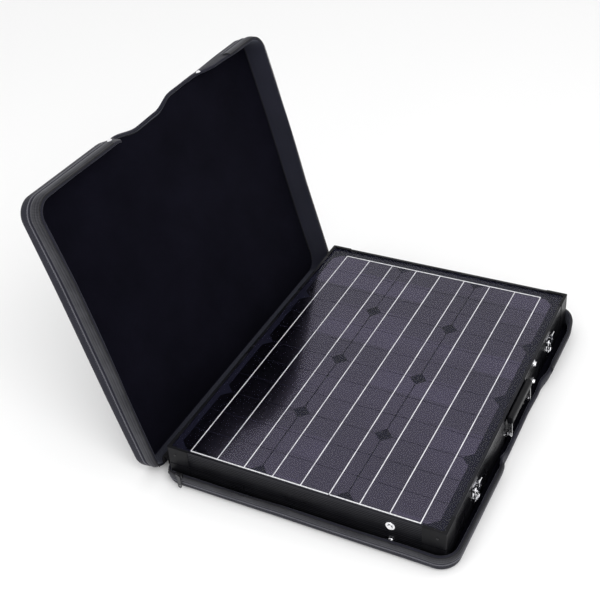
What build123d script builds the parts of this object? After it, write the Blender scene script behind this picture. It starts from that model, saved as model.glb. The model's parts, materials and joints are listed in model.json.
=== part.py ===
"""Folding suitcase solar panel kit in its zipped carrying case.

Millimetres, +Z up.  X runs from the hinge side to the handle side and Y from the front to the
back.  The origin is the middle of the case's underside, on the surface that the case lies on.
The case is open and the folded pair of panels lies in its tray, so every joint is at rest.
"""
import os
from math import cos, radians, sin

from build123d import *

# ---------------------------------------------------------------- driving dimensions
# carrying case
CASE_W = 539.5            # hinge side to handle side
CASE_L = 700.5            # front to back
CASE_LEFT = -267.75       # outer face of the hinge-side wall
CASE_R = 30.0             # corner radius in plan
SHELL = 4.0               # padded shell, floor and walls
LINING = 1.0              # velvet lining
BASE_RIM = 33.0           # height of the tray's rim
RIM_GAP = 0.4             # between the two rims when shut
LID_DEPTH = 49.5          # rim to the lid's outer face
LID_OPEN = 104.4          # angle the lid is open by
LID_AXIS_X = -260.5       # the cloth spine bends about this line
LID_AXIS_Z = 24.0
SPINE_CUT = 12.0          # hinge-side walls stop this far short of the rim
SPINE_REACH = 8.8         # and this far round the two corners beside it
SEAM_GAP = 0.1            # between the boards inside the walls
TAPE_H = 12.2             # zip tape
TAPE_T = 0.8
CHAIN_H = 2.6             # zip chain
CHAIN_T = 2.2
PIPING = 2.6              # piping cord over the tape's lower seam
TAPE_LOW = 15.2           # that seam's distance from the rim
CUT_Y = 17.0              # middle of the cut-out for the panel's handle
CUT_TOP = 132.0           # half width of the cut-out at the rim
CUT_LOW = 76.0            # and at its bottom
BASE_CUT_Z = 15.0         # bottom of the cut-out in the tray

# one panel
PANEL_W = 507.5
PANEL_L = 675.5
RAIL_H = 35.0
RAIL_T = 1.8              # outer wall
RAIL_BOX = 10.0           # depth of the hollow chamber
RAIL_FLANGE = 18.0        # back flange
RAIL_LIP = 5.0            # lip over the glass
LIP_T = 0.9
SHELF_TOP = 31.1          # the laminate lies on this shelf
BACKSHEET_T = 0.5
CELL_T = 0.25
RIBBON_T = 0.15
GLASS_T = 2.0
LOWER_TOP = 41.1          # parting plane of the lower panel
UPPER_BOTTOM = 41.5       # and of the upper one
CAP_ARM = 40.0            # corner cap arms
CAP_T = 0.8
GROOVES = 7

# cells: full squares cut into three strips
CELL = 156.0
COLUMN_PITCH = 158.0
ROW_PITCH = 53.2
STRIP = 52.0
COLUMNS = 3
ROWS = 12
CELL_MID_X = -2.25
CELL_FRONT = -326.2
CELL_CHAMFER = 15.0
BUSBAR_PITCH = 52.0
BUSBAR_W = 1.7
RIBBON_W = 2.6

# stand leg of each panel
LEG_X = 160.75            # pivot
LEG_T = 16.5              # pivot height above the parting plane
LEG_LEN = 226.0
ARM_W = 16.0
ARM_T = 3.0
ARM_INSET = 20.0          # outer face of the rail to the arm
BOLT_R = 3.0
LEG_PLAY = 0.05
CROSSBAR_R = 7.0

# hinges between the panels
HINGE_X = -256.75
HINGE_Z = 41.3
HINGE_Y = (-200.0, 200.0)
KNUCKLE_R = 2.7
PIN_R = 1.5
LEAF_L = 60.0
LEAF_H = 22.0
LEAF_T = 1.5

# draw latches on the handle side
SIDE_X = PANEL_W / 2
LATCH_Y = (-206.5, 208.5)
LEVER_X = 258.75          # lever pivot
LEVER_Z = 54.0
CRANK_X = 257.75          # bail pivot
CRANK_Z = 60.0
BAIL_LEN = 28.0
BAIL_R = 1.0
BAIL_Y = 10.8

# carrying handle
GRIP_Y = 12.0
GRIP_L = 112.0
GRIP_X = 260.2
GRIP_Z = 66.0
HANDLE_X = 261.0          # handle pivot
HANDLE_Z = 30.0
HANDLE_PIN_R = 2.0

# zip sliders
SLIDER_X = -226.0

MIN2 = (Align.MIN, Align.MIN)
CLOSED_RIM = BASE_RIM + RIM_GAP

os.makedirs("parts", exist_ok=True)


def save(part, name):
    """Label a finished piece and write it to its own STEP file."""
    part.label = name
    export_step(part, f"parts/{name}.step")


# ---------------------------------------------------------------- planes
def lid_plane():
    """Rim plane of the open lid: x from the spine to the free edge, z towards its outside."""
    dx = CASE_LEFT - LID_AXIS_X
    dz = CLOSED_RIM - LID_AXIS_Z
    turn = radians(LID_OPEN)
    x = LID_AXIS_X + dx * cos(turn) - dz * sin(turn)
    z = LID_AXIS_Z + dx * sin(turn) + dz * cos(turn)
    along = (cos(turn), 0, sin(turn))
    outward = (-sin(turn), 0, cos(turn))
    return Plane(origin=(x, 0, z), x_dir=along, z_dir=outward)


LID = lid_plane()
BASE = Plane(origin=(CASE_LEFT, 0, 0), x_dir=(1, 0, 0), z_dir=(0, 0, 1))
PANELS = {
    "lower": Plane(origin=(0, 0, LOWER_TOP), x_dir=(1, 0, 0), z_dir=(0, 0, -1)),
    "upper": Plane(origin=(0, 0, UPPER_BOTTOM), x_dir=(1, 0, 0), z_dir=(0, 0, 1)),
}


# ---------------------------------------------------------------- carrying case
def outline(grow, mode=Mode.ADD):
    """The case's plan outline, grown outwards, with its hinge-side edge at x = -grow."""
    with Locations((CASE_W / 2, 0)):
        RectangleRounded(CASE_W + 2 * grow, CASE_L + 2 * grow, CASE_R + grow, mode=mode)


def ring(outer, inner):
    """A closed band between two offsets of the outline."""
    outline(outer)
    outline(inner, mode=Mode.SUBTRACT)


def hinge_side_away(length):
    """Take the hinge-side stretch off a band, corners included."""
    with Locations((-20, 0)):
        Rectangle(length + 20, CASE_L + 60, align=(Align.MIN, Align.CENTER), mode=Mode.SUBTRACT)


def handle_stretch_away():
    """Take the stretch across the handle cut-out off a band."""
    with Locations((CASE_W, CUT_Y)):
        Rectangle(60, 2 * CUT_TOP + 6, mode=Mode.SUBTRACT)


def side_plane(plane, x):
    """Plane across the wall's thickness: its x runs from front to back, its y as the walls do."""
    return Plane(origin=plane.from_local_coords((x, 0, 0)), x_dir=(0, 1, 0), z_dir=plane.x_dir)


def handle_cut(rim, floor):
    """Outline of the cut-out for the panel's handle."""
    Polygon(
        (CUT_Y - CUT_TOP, rim),
        (CUT_Y + CUT_TOP, rim),
        (CUT_Y + CUT_LOW, floor),
        (CUT_Y - CUT_LOW, floor),
        align=None,
    )


def spine_cut():
    """Stretch of the walls along the spine that stops short of the rim."""
    with Locations((-5, 0)):
        Rectangle(SPINE_REACH + 5, CASE_L + 20, align=(Align.MIN, Align.CENTER))


def board_seams():
    """Hairline gaps between the stiff boards that the cloth of the walls is sewn over."""
    for x in (CASE_R, CASE_W - CASE_R):
        for y in (CASE_R - CASE_L / 2, CASE_L / 2 - CASE_R):
            first = 180 if x == CASE_R and y < 0 else 90 if x == CASE_R else 270 if y < 0 else 0
            for turn in (0, 45, 90):
                with Locations((x, y)):
                    with PolarLocations(CASE_R - 2, 1, start_angle=first + turn):
                        Rectangle(12, SEAM_GAP)
    for y in (-CUT_TOP, -CUT_LOW, CUT_LOW, CUT_TOP):
        with Locations((CASE_W, CUT_Y + y)):
            Rectangle(16, SEAM_GAP)


def floor_panel(plane, outer_face, name):
    """Flat padded panel, its outer edge rounded."""
    inward = -SHELL if outer_face > 0 else SHELL
    with BuildPart() as piece:
        with BuildSketch(plane.offset(outer_face)):
            outline(0)
        extrude(amount=inward)
        far = piece.edges().filter_by(
            lambda edge: abs(plane.to_local_coords(edge.center()).Z - outer_face) < 0.01
        )
        fillet(far, radius=3.0)
    save(piece.part, name)


def wall_band(plane, low, high, rim, cut_floor, name):
    """Padded side wall: a closed band, low along the spine and cut away for the handle."""
    with BuildPart() as piece:
        with BuildSketch(plane.offset(low)):
            ring(0, -SHELL)
        extrude(amount=high - low)
        with BuildSketch(plane.offset(rim)):
            spine_cut()
        extrude(amount=SPINE_CUT if rim == low else -SPINE_CUT, mode=Mode.SUBTRACT)
        with BuildSketch(side_plane(plane, CASE_W - 40)):
            handle_cut(rim, cut_floor)
        extrude(amount=60, mode=Mode.SUBTRACT)
        with BuildSketch(plane.offset(low)):
            board_seams()
        extrude(amount=high - low, mode=Mode.SUBTRACT)
    save(piece.part, name)


def lining(plane, face, low, high, rim, cut_floor, name):
    """Velvet lining: one sheet over the panel and one band round the walls."""
    with BuildPart() as piece:
        with BuildSketch(plane.offset(face)):
            outline(-SHELL - LINING)
        extrude(amount=LINING if face < rim else -LINING)
        with BuildSketch(plane.offset(low)):
            ring(-SHELL, -SHELL - LINING)
        extrude(amount=high - low)
        with BuildSketch(plane.offset(rim)):
            spine_cut()
        extrude(amount=SPINE_CUT if rim == low else -SPINE_CUT, mode=Mode.SUBTRACT)
        with BuildSketch(side_plane(plane, CASE_W - 40)):
            handle_cut(rim, cut_floor)
        extrude(amount=60, mode=Mode.SUBTRACT)
    save(piece.part, name)


def trim(plane, low, height, thickness, name):
    """A strip on the outer face of three walls: zip tape, zip chain or piping."""
    with BuildPart() as piece:
        with BuildSketch(plane.offset(low)):
            ring(thickness, 0)
            hinge_side_away(CASE_R - 8)
            handle_stretch_away()
        extrude(amount=height)
    save(piece.part, name)


def spine_flap(plane, low, high, name):
    """The half of the cloth spine that is glued to one hinge-side wall."""
    with BuildPart() as piece:
        with BuildSketch(plane.offset(low)):
            with Locations((-TAPE_T, 0)):
                Rectangle(TAPE_T, CASE_L - 2 * CASE_R - 8, align=(Align.MIN, Align.CENTER))
        extrude(amount=high - low)
    save(piece.part, name)


def press_studs(plane, height, name):
    """Domed press studs beside the handle cut-out, on the outer face of the wall."""
    with BuildPart() as piece:
        with BuildSketch(side_plane(plane, CASE_W)):
            with Locations((CUT_Y - 144, height), (CUT_Y + 144, height)):
                Circle(4.5)
        extrude(amount=2.2, taper=35)
    save(piece.part, name)


def base_half():
    """Tray of the case."""
    face = SHELL
    floor_panel(BASE, 0, "base_panel")
    wall_band(BASE, face, BASE_RIM, BASE_RIM, BASE_CUT_Z, "base_wall_band")
    lining(BASE, face, face + LINING, BASE_RIM, BASE_RIM, BASE_CUT_Z, "base_lining")
    trim(BASE, BASE_RIM - TAPE_LOW - PIPING, PIPING, PIPING, "base_piping")
    trim(BASE, BASE_RIM - TAPE_LOW + 0.2, TAPE_H, TAPE_T, "base_zip_tape")
    trim(BASE, BASE_RIM - CHAIN_H, CHAIN_H, CHAIN_T, "base_zip_chain")
    spine_flap(BASE, face + 1, BASE_RIM - SPINE_CUT, "base_spine_flap")


def lid_half():
    """Lid of the case, standing open."""
    face = LID_DEPTH - SHELL
    floor_panel(LID, LID_DEPTH, "lid_panel")
    wall_band(LID, 0, face, 0, face - 1.5, "lid_wall_band")
    lining(LID, face, 0, face - LINING, 0, face - 1.5, "lid_lining")
    trim(LID, TAPE_LOW, PIPING, PIPING, "lid_piping")
    trim(LID, CHAIN_H + 0.2, TAPE_H, TAPE_T, "lid_zip_tape")
    trim(LID, 0, CHAIN_H, CHAIN_T, "lid_zip_chain")
    press_studs(LID, 24, "lid_press_studs")
    spine_flap(LID, SPINE_CUT, face - 1, "lid_spine_flap")


def zip_slider(sign, name, pull_name):
    """Slider wrapped round the chains of one long zip, with its pull tab hanging from it."""
    wall = sign * CASE_L / 2
    mid_z = BASE_RIM + RIM_GAP / 2
    with BuildPart() as slider:
        with BuildSketch(Plane.YZ.offset(SLIDER_X)):
            with Locations((wall + sign * 2.8, mid_z)):
                Rectangle(3.6, 8.6)
            with Locations((wall + sign * 1.2, mid_z)):
                Rectangle(3.0, 5.9, mode=Mode.SUBTRACT)
            with Locations((wall + sign * 5.3, mid_z)):
                Rectangle(1.8, 5.0)
        extrude(amount=6.5, both=True)
        with BuildSketch(Plane.XZ.offset(-(wall + sign * 5.3))):
            with Locations((SLIDER_X, mid_z - 0.4)):
                Circle(1.5)
        extrude(amount=3, both=True, mode=Mode.SUBTRACT)
    save(slider.part, name)
    face = wall + sign * 7.2
    with BuildPart() as pull:
        with BuildSketch(Plane.XZ.offset(-face)):
            with Locations((SLIDER_X, mid_z - 12.0)):
                SlotOverall(28, 7, rotation=90)
            with Locations((SLIDER_X, mid_z - 22.0)):
                Circle(1.8, mode=Mode.SUBTRACT)
        extrude(amount=0.6, both=True)
        with BuildSketch(Plane.XZ.offset(-(wall + sign * 5.6))):
            with Locations((SLIDER_X, mid_z - 0.4)):
                Circle(1.3)
        extrude(amount=1.4, both=True)
    save(pull.part, pull_name)


def carrying_case():
    base_half()
    lid_half()
    zip_slider(-1, "zip_slider_front", "zip_pull_front")
    zip_slider(1, "zip_slider_back", "zip_pull_back")


# ---------------------------------------------------------------- panels
def rail_profile():
    """Hollow extruded rail; x runs inwards from its outer face and y towards the glass."""
    Rectangle(RAIL_T, RAIL_H, align=MIN2)
    Rectangle(RAIL_FLANGE, RAIL_T, align=MIN2)
    Rectangle(RAIL_BOX, SHELF_TOP, align=MIN2)
    with Locations((RAIL_T, RAIL_T)):
        Rectangle(RAIL_BOX - 2 * RAIL_T, SHELF_TOP - 2 * RAIL_T, align=MIN2, mode=Mode.SUBTRACT)
    with Locations((0, RAIL_H - LIP_T)):
        Rectangle(RAIL_LIP, LIP_T, align=MIN2)
    for k in range(GROOVES):
        with Locations((0, 5.2 + 3.9 * k)):
            Rectangle(0.5, 1.1, align=MIN2, mode=Mode.SUBTRACT)


def rail_plane(plane, x, y, inward):
    """Profile plane half way along the rail whose outer face passes (x, y)."""
    glass = plane.z_dir
    start = plane.from_local_coords((x, y, 0))
    inside = (plane.x_dir * inward[0]) + (plane.y_dir * inward[1])
    return Plane(origin=start, x_dir=inside, z_dir=inside.cross(glass))


def long_rails(plane, side):
    """The hinge-side and the handle-side rail, full length."""
    with BuildPart() as rails:
        for end in (-1, 1):
            with BuildSketch(rail_plane(plane, end * PANEL_W / 2, 0, (-end, 0))):
                rail_profile()
            extrude(amount=PANEL_L / 2, both=True)
    save(rails.part, f"{side}_long_rails")


def short_rails(plane, side):
    """The front and back rails, between the long ones, drilled for the leg bolts."""
    length = PANEL_W - 2 * RAIL_FLANGE - 0.4
    with BuildPart() as rails:
        for end in (-1, 1):
            with BuildSketch(rail_plane(plane, 0, end * PANEL_L / 2, (0, -end))):
                rail_profile()
            extrude(amount=length / 2, both=True)
        with BuildSketch(Plane(origin=plane.origin, x_dir=plane.x_dir, z_dir=plane.y_dir)):
            with Locations((LEG_X, -LEG_T)):
                Circle(BOLT_R + 0.2)
        extrude(amount=PANEL_L, both=True, mode=Mode.SUBTRACT)
    save(rails.part, f"{side}_short_rails")


def keep_corners():
    """Leave only the four corners of a band."""
    Rectangle(PANEL_W - 2 * CAP_ARM, PANEL_L + 20, mode=Mode.SUBTRACT)
    Rectangle(PANEL_W + 20, PANEL_L - 2 * CAP_ARM, mode=Mode.SUBTRACT)


def corner_caps(plane, side):
    """Plastic caps hugging the four corners, just proud of the rails."""
    with BuildPart() as caps:
        with BuildSketch(plane.offset(0.6)):
            RectangleRounded(PANEL_W + 2 * CAP_T, PANEL_L + 2 * CAP_T, 2.5)
            Rectangle(PANEL_W, PANEL_L, mode=Mode.SUBTRACT)
            keep_corners()
        extrude(amount=RAIL_H - 0.6)
        with BuildSketch(plane.offset(RAIL_H)):
            RectangleRounded(PANEL_W + 2 * CAP_T, PANEL_L + 2 * CAP_T, 2.5)
            Rectangle(PANEL_W - 2 * RAIL_LIP, PANEL_L - 2 * RAIL_LIP, mode=Mode.SUBTRACT)
            keep_corners()
        extrude(amount=CAP_T)
    save(caps.part, f"{side}_corner_caps")


def rivet_heads(plane, side):
    """One rivet head on each cap, on the short sides, and those of the handle's brackets."""
    with BuildPart() as rivets:
        for end in (-1, 1):
            face = plane.from_local_coords((0, end * (PANEL_L / 2 + CAP_T), RAIL_H - 14))
            with BuildSketch(Plane(origin=face, x_dir=plane.x_dir, z_dir=plane.y_dir * end)):
                with Locations((-PANEL_W / 2 + 14, 0), (PANEL_W / 2 - 14, 0)):
                    Circle(2.0)
            extrude(amount=0.9)
        if side == "lower":
            with BuildSketch(Plane.YZ.offset(SIDE_X + 1.4)):
                for end in (-1, 1):
                    y = GRIP_Y + end * (GRIP_L / 2 - 3)
                    with Locations((y - end * 6.5, 19.5), (y - end * 6.5, 33.5)):
                        Circle(2.4)
            extrude(amount=1.2, taper=20)
    save(rivets.part, f"{side}_rivets")


def laminate(plane, side):
    """Glass, edge seal and backsheet of one panel."""
    cells_at = SHELF_TOP + BACKSHEET_T
    glass_at = cells_at + CELL_T + RIBBON_T
    with BuildPart() as backsheet:
        with BuildSketch(plane.offset(SHELF_TOP)):
            Rectangle(PANEL_W - 6, PANEL_L - 6)
        extrude(amount=BACKSHEET_T)
    save(backsheet.part, f"{side}_backsheet")
    with BuildPart() as glass:
        with BuildSketch(plane.offset(glass_at)):
            Rectangle(PANEL_W - 6, PANEL_L - 6)
        extrude(amount=GLASS_T)
    save(glass.part, f"{side}_glass")
    with BuildPart() as seal:
        with BuildSketch(plane.offset(SHELF_TOP)):
            Rectangle(PANEL_W - 2 * RAIL_T - 0.1, PANEL_L - 2 * RAIL_T - 0.1)
            Rectangle(PANEL_W - 6, PANEL_L - 6, mode=Mode.SUBTRACT)
        extrude(amount=glass_at + GLASS_T - SHELF_TOP)
    save(seal.part, f"{side}_edge_seal")


def strip_outline(row):
    """One third of a cell; the outer thirds keep the wafer's cut corners."""
    x = CELL / 2
    y = STRIP / 2
    cut = CELL_CHAMFER
    if row % 3 == 0:
        return [(-x + cut, -y), (x - cut, -y), (x, -y + cut), (x, y), (-x, y), (-x, -y + cut)]
    if row % 3 == 2:
        return [(-x, -y), (x, -y), (x, y - cut), (x - cut, y), (-x + cut, y), (-x, y - cut)]
    return [(-x, -y), (x, -y), (x, y), (-x, y)]


def cell_strings(plane, side):
    """Three columns of cell strips and the ribbons soldered along and across them."""
    flip = plane.y_dir.Y
    with BuildPart() as cells:
        with BuildSketch(plane.offset(SHELF_TOP + BACKSHEET_T)):
            for row in range(ROWS):
                y = flip * (CELL_FRONT + ROW_PITCH * (row + 0.5))
                for column in range(COLUMNS):
                    x = CELL_MID_X + COLUMN_PITCH * (column - 1)
                    points = [(x + px, y + flip * py) for px, py in strip_outline(row)]
                    Polygon(*points, align=None)
        extrude(amount=CELL_T)
    save(cells.part, f"{side}_cells")
    length = ROWS * ROW_PITCH
    mid = CELL_FRONT + length / 2
    with BuildPart() as ribbons:
        with BuildSketch(plane.offset(SHELF_TOP + BACKSHEET_T + CELL_T)):
            for column in range(COLUMNS):
                for bar in (-1, 0, 1):
                    x = CELL_MID_X + COLUMN_PITCH * (column - 1) + BUSBAR_PITCH * bar
                    with Locations((x, flip * mid)):
                        Rectangle(BUSBAR_W, length + 4)
            first = CELL_MID_X - COLUMN_PITCH - BUSBAR_PITCH
            last = CELL_MID_X + COLUMN_PITCH + BUSBAR_PITCH
            split = CELL_MID_X + BUSBAR_PITCH
            for y, x0, x1 in (
                (CELL_FRONT - 2, first, split - 1.4),
                (CELL_FRONT - 2, split + 1.4, last + 1),
                (CELL_FRONT + length + 2, first, last),
            ):
                with Locations(((x0 + x1) / 2, flip * y)):
                    Rectangle(x1 - x0, RIBBON_W)
        extrude(amount=RIBBON_T)
    save(ribbons.part, f"{side}_ribbons")


def junction_box(plane, side):
    """Junction box with the bypass diodes, glued to the backsheet near the hinge side."""
    with BuildPart() as box:
        with BuildSketch(plane.offset(SHELF_TOP)):
            with Locations((-165, 0)):
                RectangleRounded(76, 104, 6)
        extrude(amount=-17)
        lid_edges = box.edges().filter_by(
            lambda edge: plane.to_local_coords(edge.center()).Z < SHELF_TOP - 16.9
        )
        chamfer(lid_edges, length=1.6)
    save(box.part, f"{side}_junction_box")


def arm_plane(plane, end, inset):
    """Plane of a leg arm: x along the panel, y towards the parting plane."""
    start = plane.from_local_coords((LEG_X, end * (PANEL_L / 2 - inset), LEG_T))
    return Plane(origin=start, x_dir=plane.x_dir, z_dir=plane.y_dir * -end)


def leg_fittings(plane, side):
    """Pivot bolts of one leg with the matching side bolt, then the spacers and lock nuts."""
    head = 25.0 if side == "lower" else 67.3
    with BuildPart() as bolts:
        with BuildSketch(Plane.YZ.offset(SIDE_X)):
            with Locations((118, head)):
                Circle(8)
        extrude(amount=1.4)
        with BuildSketch(Plane.YZ.offset(SIDE_X + 1.4)):
            with Locations((118, head)):
                Circle(5.2)
        extrude(amount=3.2, taper=12)
        for end in (-1, 1):
            with BuildSketch(arm_plane(plane, end, -1.4)):
                Circle(BOLT_R)
            extrude(amount=30)
            with BuildSketch(arm_plane(plane, end, 0)):
                Circle(8)
                Circle(BOLT_R, mode=Mode.SUBTRACT)
            extrude(amount=-1.4)
            with BuildSketch(arm_plane(plane, end, -1.4)):
                Circle(5.2)
            extrude(amount=-3.2, taper=12)
    save(bolts.part, f"{side}_bolts")
    with BuildPart() as spacers:
        for end in (-1, 1):
            with BuildSketch(arm_plane(plane, end, RAIL_BOX)):
                Circle(6)
                Circle(BOLT_R + 0.02, mode=Mode.SUBTRACT)
            extrude(amount=ARM_INSET - RAIL_BOX - 0.1)
            with BuildSketch(arm_plane(plane, end, ARM_INSET + ARM_T + 0.1)):
                RegularPolygon(5.5, 6)
                Circle(BOLT_R + 0.02, mode=Mode.SUBTRACT)
            extrude(amount=5)
    save(spacers.part, f"{side}_leg_spacers_and_nuts")


def stand_leg(plane, side):
    """U-shaped stand leg: two flat arms, the tube between their ends and its rubber feet."""
    inner = ARM_INSET + ARM_T
    with BuildPart() as leg:
        for end in (-1, 1):
            with BuildSketch(arm_plane(plane, end, ARM_INSET)):
                with Locations((-LEG_LEN / 2, 0)):
                    SlotCenterToCenter(LEG_LEN, ARM_W)
                Circle(BOLT_R + LEG_PLAY, mode=Mode.SUBTRACT)
            extrude(amount=ARM_T)
        with BuildSketch(arm_plane(plane, -1, inner)):
            with Locations((-LEG_LEN, 0)):
                Circle(CROSSBAR_R)
                Circle(CROSSBAR_R - 1.5, mode=Mode.SUBTRACT)
        extrude(amount=PANEL_L - 2 * inner)
    save(leg.part, f"{side}_stand_leg")
    with BuildPart() as feet:
        for end in (-1, 1):
            with BuildSketch(arm_plane(plane, end, inner + 12)):
                with Locations((-LEG_LEN, 0)):
                    Circle(CROSSBAR_R + 2)
                    Circle(CROSSBAR_R, mode=Mode.SUBTRACT)
            extrude(amount=50)
    save(feet.part, f"{side}_leg_feet")


def panel(side):
    plane = PANELS[side]
    long_rails(plane, side)
    short_rails(plane, side)
    corner_caps(plane, side)
    rivet_heads(plane, side)
    laminate(plane, side)
    cell_strings(plane, side)
    junction_box(plane, side)
    leg_fittings(plane, side)
    stand_leg(plane, side)


# ---------------------------------------------------------------- hinges between the panels
def hinge_leaves(up, knuckles, name):
    """Leaves of both hinges on one panel, with these thirds rolled into knuckles.

    The pins are fixed in the lower leaves.
    """
    sign = 1 if up else -1
    with BuildPart() as leaves:
        for y in HINGE_Y:
            with BuildSketch(Plane.XZ.offset(-(y - LEAF_L / 2))):
                with Locations((-PANEL_W / 2 - LEAF_T / 2, HINGE_Z + sign * (LEAF_H / 2 + 0.5))):
                    Rectangle(LEAF_T, LEAF_H)
            extrude(amount=-LEAF_L)
            for k in range(3):
                if k in knuckles:
                    continue
                with BuildSketch(Plane.XZ.offset(-(y - LEAF_L / 2 + k * LEAF_L / 3 - 0.2))):
                    with Locations((HINGE_X, HINGE_Z)):
                        Circle(KNUCKLE_R + 0.6)
                extrude(amount=-LEAF_L / 3 - 0.4, mode=Mode.SUBTRACT)
            for k in knuckles:
                with BuildSketch(Plane.XZ.offset(-(y - LEAF_L / 2 + k * LEAF_L / 3 + 0.2))):
                    with Locations((HINGE_X, HINGE_Z)):
                        Circle(KNUCKLE_R)
                    with Locations((HINGE_X + 1.9, HINGE_Z + sign * 1.6)):
                        Rectangle(1.6, 2.2)
                    if up:
                        with Locations((HINGE_X, HINGE_Z)):
                            Circle(PIN_R + 0.05, mode=Mode.SUBTRACT)
                extrude(amount=-LEAF_L / 3 + 0.4)
            if not up:
                with BuildSketch(Plane.XZ.offset(-(y - LEAF_L / 2))):
                    with Locations((HINGE_X, HINGE_Z)):
                        Circle(PIN_R)
                extrude(amount=-LEAF_L)
    save(leaves.part, name)


def hinge_screws(sign, name):
    """Three countersunk heads on each leaf."""
    with BuildPart() as screws:
        with BuildSketch(Plane.YZ.offset(-PANEL_W / 2 - LEAF_T)):
            for y in HINGE_Y:
                for step in (-20, 0, 20):
                    with Locations((y + step, HINGE_Z + sign * 14)):
                        Circle(2.8)
        extrude(amount=-0.7)
    save(screws.part, name)


def panel_hinges():
    hinge_leaves(False, (0, 2), "lower_hinge_leaves")
    hinge_leaves(True, (1,), "upper_hinge_leaves")
    hinge_screws(-1, "lower_hinge_screws")
    hinge_screws(1, "upper_hinge_screws")


# ---------------------------------------------------------------- draw latches
def latch_plates():
    """Riveted back plates with the two ears that hold each lever's pin."""
    with BuildPart() as plates:
        for y in LATCH_Y:
            with BuildSketch(Plane.YZ.offset(SIDE_X)):
                with Locations((y, 56)):
                    RectangleRounded(26, 26, 3)
            extrude(amount=1.2)
            for end in (-1, 1):
                with BuildSketch(Plane.XZ.offset(-(y + end * 8.6))):
                    with Locations((LEVER_X, LEVER_Z)):
                        Circle(3)
                    with Locations(((SIDE_X + LEVER_X) / 2, LEVER_Z)):
                        Rectangle(LEVER_X - SIDE_X, 6)
                extrude(amount=0.6, both=True)
            with BuildSketch(Plane.XZ.offset(-y)):
                with Locations((LEVER_X, LEVER_Z)):
                    Circle(1.5)
            extrude(amount=9.2, both=True)
    save(plates.part, "latch_plates")


def latch_keepers():
    """Hooks on the lower panel; each shelf holds the bail's wire and curls up at its edge."""
    with BuildPart() as keepers:
        for y in LATCH_Y:
            with BuildSketch(Plane.YZ.offset(SIDE_X)):
                with Locations((y, 31.5)):
                    RectangleRounded(18, 14, 2)
            extrude(amount=1.2)
            with BuildSketch(Plane.XZ.offset(-y)):
                Polygon(
                    (SIDE_X, 33.4), (261.6, 33.4), (261.6, 36.4), (260.4, 36.4),
                    (260.4, 34.8), (SIDE_X, 34.8), align=None,
                )
            extrude(amount=7, both=True)
    save(keepers.part, "latch_keepers")


def latch_lever(y, name):
    """Pressed lever: two cheeks on the pin and a handle plate that curls out at its tip."""
    with BuildPart() as lever:
        for end in (-1, 1):
            with BuildSketch(Plane.XZ.offset(-(y + end * 7.0))):
                Polygon(
                    (256.0, 51.4), (261.6, 51.4), (261.6, 68.0), (259.6, 68.0),
                    (256.2, 63.0), align=None,
                )
                with Locations((LEVER_X, LEVER_Z)):
                    Circle(1.55, mode=Mode.SUBTRACT)
                with Locations((CRANK_X, CRANK_Z)):
                    Circle(BAIL_R + 0.05, mode=Mode.SUBTRACT)
            extrude(amount=0.6, both=True)
        with BuildSketch(Plane.XZ.offset(-y)):
            Polygon(
                (260.6, 51.4), (261.8, 51.4), (261.8, 71.0), (263.4, 74.4),
                (262.4, 75.0), (260.6, 71.4), align=None,
            )
        extrude(amount=7.6, both=True)
        with BuildSketch(Plane.YZ.offset(SIDE_X + 12)):
            with Locations((y, 64)):
                SlotOverall(9, 3, rotation=90)
        extrude(amount=-8, mode=Mode.SUBTRACT)
    save(lever.part, name)


def latch_bail(y, name):
    """Wire bail: two legs outside the ears, joined under the keeper's shelf."""
    with BuildPart() as bail:
        with BuildLine() as path:
            FilletPolyline(
                (CRANK_X, y - 6.6, CRANK_Z),
                (CRANK_X, y - BAIL_Y, CRANK_Z),
                (CRANK_X, y - BAIL_Y, CRANK_Z - BAIL_LEN),
                (CRANK_X, y + BAIL_Y, CRANK_Z - BAIL_LEN),
                (CRANK_X, y + BAIL_Y, CRANK_Z),
                (CRANK_X, y + 6.6, CRANK_Z),
                radius=1.6,
            )
        with BuildSketch(Plane(origin=path.line @ 0, z_dir=path.line % 0)):
            Circle(BAIL_R)
        sweep()
    save(bail.part, name)


def draw_latches():
    latch_plates()
    latch_keepers()
    for y, place in zip(LATCH_Y, ("front", "back")):
        latch_lever(y, f"latch_lever_{place}")
        latch_bail(y, f"latch_bail_{place}")


# ---------------------------------------------------------------- carrying handle
def handle_brackets():
    """Brackets riveted to the lower rail, each with an ear and the pin for one arm."""
    with BuildPart() as brackets:
        for end in (-1, 1):
            y = GRIP_Y + end * (GRIP_L / 2 - 3)
            with BuildSketch(Plane.YZ.offset(SIDE_X)):
                with Locations((y, 26)):
                    RectangleRounded(22, 22, 2)
            extrude(amount=1.4)
            with BuildSketch(Plane.XZ.offset(-(y + end * 3.4))):
                with Locations((HANDLE_X, HANDLE_Z)):
                    Circle(4)
                with Locations(((SIDE_X + HANDLE_X) / 2, HANDLE_Z - 1)):
                    Rectangle(HANDLE_X - SIDE_X, 6)
            extrude(amount=1, both=True)
            with BuildSketch(Plane.XZ.offset(-(y + end * 0.4))):
                with Locations((HANDLE_X, HANDLE_Z)):
                    Circle(HANDLE_PIN_R)
            extrude(amount=4, both=True)
    save(brackets.part, "handle_brackets")


def handle_arm_plane(end):
    """Plane in the middle of one arm."""
    return Plane.XZ.offset(-(GRIP_Y + end * (GRIP_L / 2 - 3)))


def handle_arm_outline():
    """Side view of one arm, tapering from its pin up into the grip."""
    Polygon(
        (HANDLE_X - 4.4, HANDLE_Z), (HANDLE_X + 4.4, HANDLE_Z),
        (GRIP_X + 3.6, GRIP_Z - 4), (GRIP_X - 3.6, GRIP_Z - 4), align=None,
    )


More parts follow.
